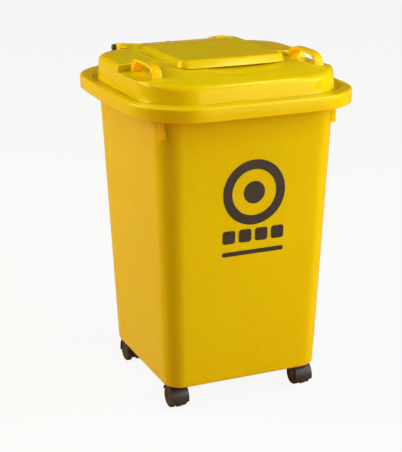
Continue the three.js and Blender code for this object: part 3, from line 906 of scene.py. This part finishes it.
def wheel_shape(x, y, side):
    """A wheel with a rounded tread and a dished outer face."""
    inner, outer = WHEEL_X
    radius = AXLE_Z
    profile = [
        (2.35, inner), (radius - 1.6, inner), (radius - 0.5, inner + 0.5), (radius, inner + 1.6),
        (radius, outer - 3.4), (radius - 0.4, outer - 1.8), (radius - 1.3, outer - 0.6),
        (radius - 2.6, outer), (radius - 5.0, outer), (radius - 5.7, outer - 0.3),
        (8.0, outer - 0.5), (2.35, outer - 0.5), (2.35, inner),
    ]
    shape = Shape()
    shape.lathe_x([(r, x + side * along) for r, along in profile], (y, AXLE_Z), 72)
    return shape


for place, (side_x, facing) in CASTERS.items():
    x, y = STEMS[place]
    caster = f"caster_{place}"
    hood = hood_shape(x, y, facing)
    make(f"{caster}_hood_shell", hood, caster, BLACK, [f"{caster}_hood"])
    for side, name in ((-1, "left"), (1, "right")):
        wheel = f"{caster}_wheel_{name}"
        tyre = wheel_shape(x, y + facing * TRAIL, side)
        make(f"{wheel}_tyre", tyre, wheel, TREAD, [wheel])
    for part in ("stem", "grip_ring", "axle"):
        mesh = frame["nodes"][f"{caster}_{part}"].data
        mesh.materials.clear()
        mesh.materials.append(STEEL)


# ---- print on the front -------------------------------------------------------------------
# A generic mark: a ring round a plain disc, a row of four blocks and a bar below.
def on_front(points, proud):
    """Points given as x and z, laid on the tub's sloping front and moved off it by proud."""
    z = points[:, 1]
    share = (z - TUB_BOTTOM) / (TUB_TOP - TUB_BOTTOM)
    depth = (TUB_PLAN_LOW[1] + (TUB_PLAN_HIGH[1] - TUB_PLAN_LOW[1]) * share) / 2
    return np.column_stack([points[:, 0] + PRINT_X, TUB_Y - depth - proud, z])


def film(shape, line):
    """A filled patch of print inside a line."""
    indices = shape.skin([on_front(line, -0.1), on_front(line, PRINT_PROUD)])
    shape.faces.append(tuple(indices[0][::-1]))
    shape.faces.append(tuple(indices[1]))


def print_shape():
    shape = Shape()
    middle = (0.0, 393.0)
    outer, inner = arc(middle, 58.0, 0, 360, 120)[:-1], arc(middle, 41.0, 0, 360, 120)[:-1]
    rings = [on_front(line, proud) for line, proud in (
        (outer, -0.1), (outer, PRINT_PROUD), (inner, PRINT_PROUD), (inner, -0.1))]
    shape.skin(rings, closed=True)
    film(shape, arc(middle, 20.0, 0, 360, 72)[:-1])
    for index in range(4):
        centre = ((index - 1.5) * 30.5, 316.3)
        film(shape, outline(24.0, 23.4, 5.0, centre=centre, corner=6, side=2))
    film(shape, outline(115.5, 8.0, 2.5, centre=(0.0, 285.5), corner=6, side=2))
    return shape


make("front_print", print_shape(), "bin", INK)


# ---- floor, lights and camera -------------------------------------------------------------
FLOOR_GLOW = 0.912


def stage_floor():
    mesh = bpy.data.meshes.new("floor")
    size = 30.0
    floor_corners = [(-size, -size, 0), (size, -size, 0), (size, size, 0), (-size, size, 0)]
    mesh.from_pydata(floor_corners, [], [(0, 1, 2, 3)])
    floor = bpy.data.objects.new("floor", mesh)
    material, tree, shader, place = new_material(
        "pale_floor", Roughness=0.9, Emission_Strength=FLOOR_GLOW,
    )
    tone = ranged(tree, noise(tree, place, 1.5, 2.0), 0.3, 0.7, 0.0, 1.0)
    grey = mixed(tree, tone, (0.040, 0.040, 0.040), (0.042, 0.042, 0.042))
    tree.links.new(grey, shader.inputs["Base Color"])
    shader.inputs["Emission Color"].default_value = (1.0, 1.0, 1.0, 1.0)
    shader.inputs["Specular IOR Level"].default_value = 0.0
    mesh.materials.append(material)
    floor.visible_diffuse = False
    floor.visible_glossy = False
    floor.visible_transmission = False
    floor.visible_shadow = False
    bpy.context.scene.collection.objects.link(floor)


def softbox(name, azimuth, elevation, distance, size, radiance, color):
    """A large soft light. The azimuth turns from +X to +Y; the box faces the bin's middle."""
    a, e = math.radians(azimuth), math.radians(elevation)
    way = Vector((math.cos(a) * math.cos(e), math.sin(a) * math.cos(e), math.sin(e)))
    data = bpy.data.lights.new(name, "AREA")
    data.shape = "RECTANGLE"
    data.size, data.size_y = size
    data.energy = radiance * math.pi * size[0] * size[1]
    data.color = color
    light = bpy.data.objects.new(name, data)
    light.location = Vector((0.0, 0.0, 0.35)) + way * distance
    light.rotation_mode = "QUATERNION"
    light.rotation_quaternion = way.to_track_quat("Z", "Y")
    light.visible_camera = False
    bpy.context.scene.collection.objects.link(light)


def sky(above, below, color):
    """An even surround; the brightness below the horizon stands for the floor."""
    world = bpy.data.worlds.new("surround")
    bpy.context.scene.world = world
    world.use_nodes = True
    tree = world.node_tree
    way = node(tree, "SeparateXYZ", {"Vector": node(tree, "TexCoord").outputs["Generated"]})
    level = ranged(tree, way.outputs["Z"], -0.12, 0.12, below, above)
    background = tree.nodes["Background"]
    background.inputs["Color"].default_value = (*color, 1.0)
    tree.links.new(level, background.inputs["Strength"])


WHITE = (1.0, 1.0, 1.0)
WARM = (1.0, 0.93, 0.30)
LIGHTS = (
    ("key_right_front", -40, 26, 2.6, (1.6, 1.8), 6.8, WHITE),
    ("over_right_front", -42, 60, 2.4, (0.6, 0.4), 16.0, WHITE),
    ("front_low", -62, 10, 2.8, (1.6, 1.6), 3.6, WHITE),
    ("left_rear", 154, 22, 2.6, (1.8, 1.6), 7.6, WARM),
    ("rear_high", 130, 45, 2.6, (1.4, 1.2), 1.0, WARM),
    ("glint", -178, 58, 2.2, (0.3, 0.3), 24.0, WHITE),
)
stage_floor()
for name, azimuth, elevation, distance, size, radiance, color in LIGHTS:
    softbox(name, azimuth, elevation, distance, size, radiance, color)
sky(0.09, 0.58, (1.0, 0.50, 0.28))

camera_data = bpy.data.cameras.new("camera")
camera_data.lens = 101.53
camera = bpy.data.objects.new("camera", camera_data)
turn, tilt, roll = math.radians(-23.0), math.radians(17.67), math.radians(-0.34)
back = Vector((math.sin(turn) * math.cos(tilt), -math.cos(turn) * math.cos(tilt), math.sin(tilt)))
camera.location = (-0.88842, -2.03944, 0.99446)
camera.rotation_mode = "QUATERNION"
camera.rotation_quaternion = back.to_track_quat("Z", "Y") @ Quaternion((0.0, 0.0, 1.0), roll)
bpy.context.scene.collection.objects.link(camera)
bpy.context.scene.camera = camera
bpy.context.scene.view_settings.view_transform = "Standard"
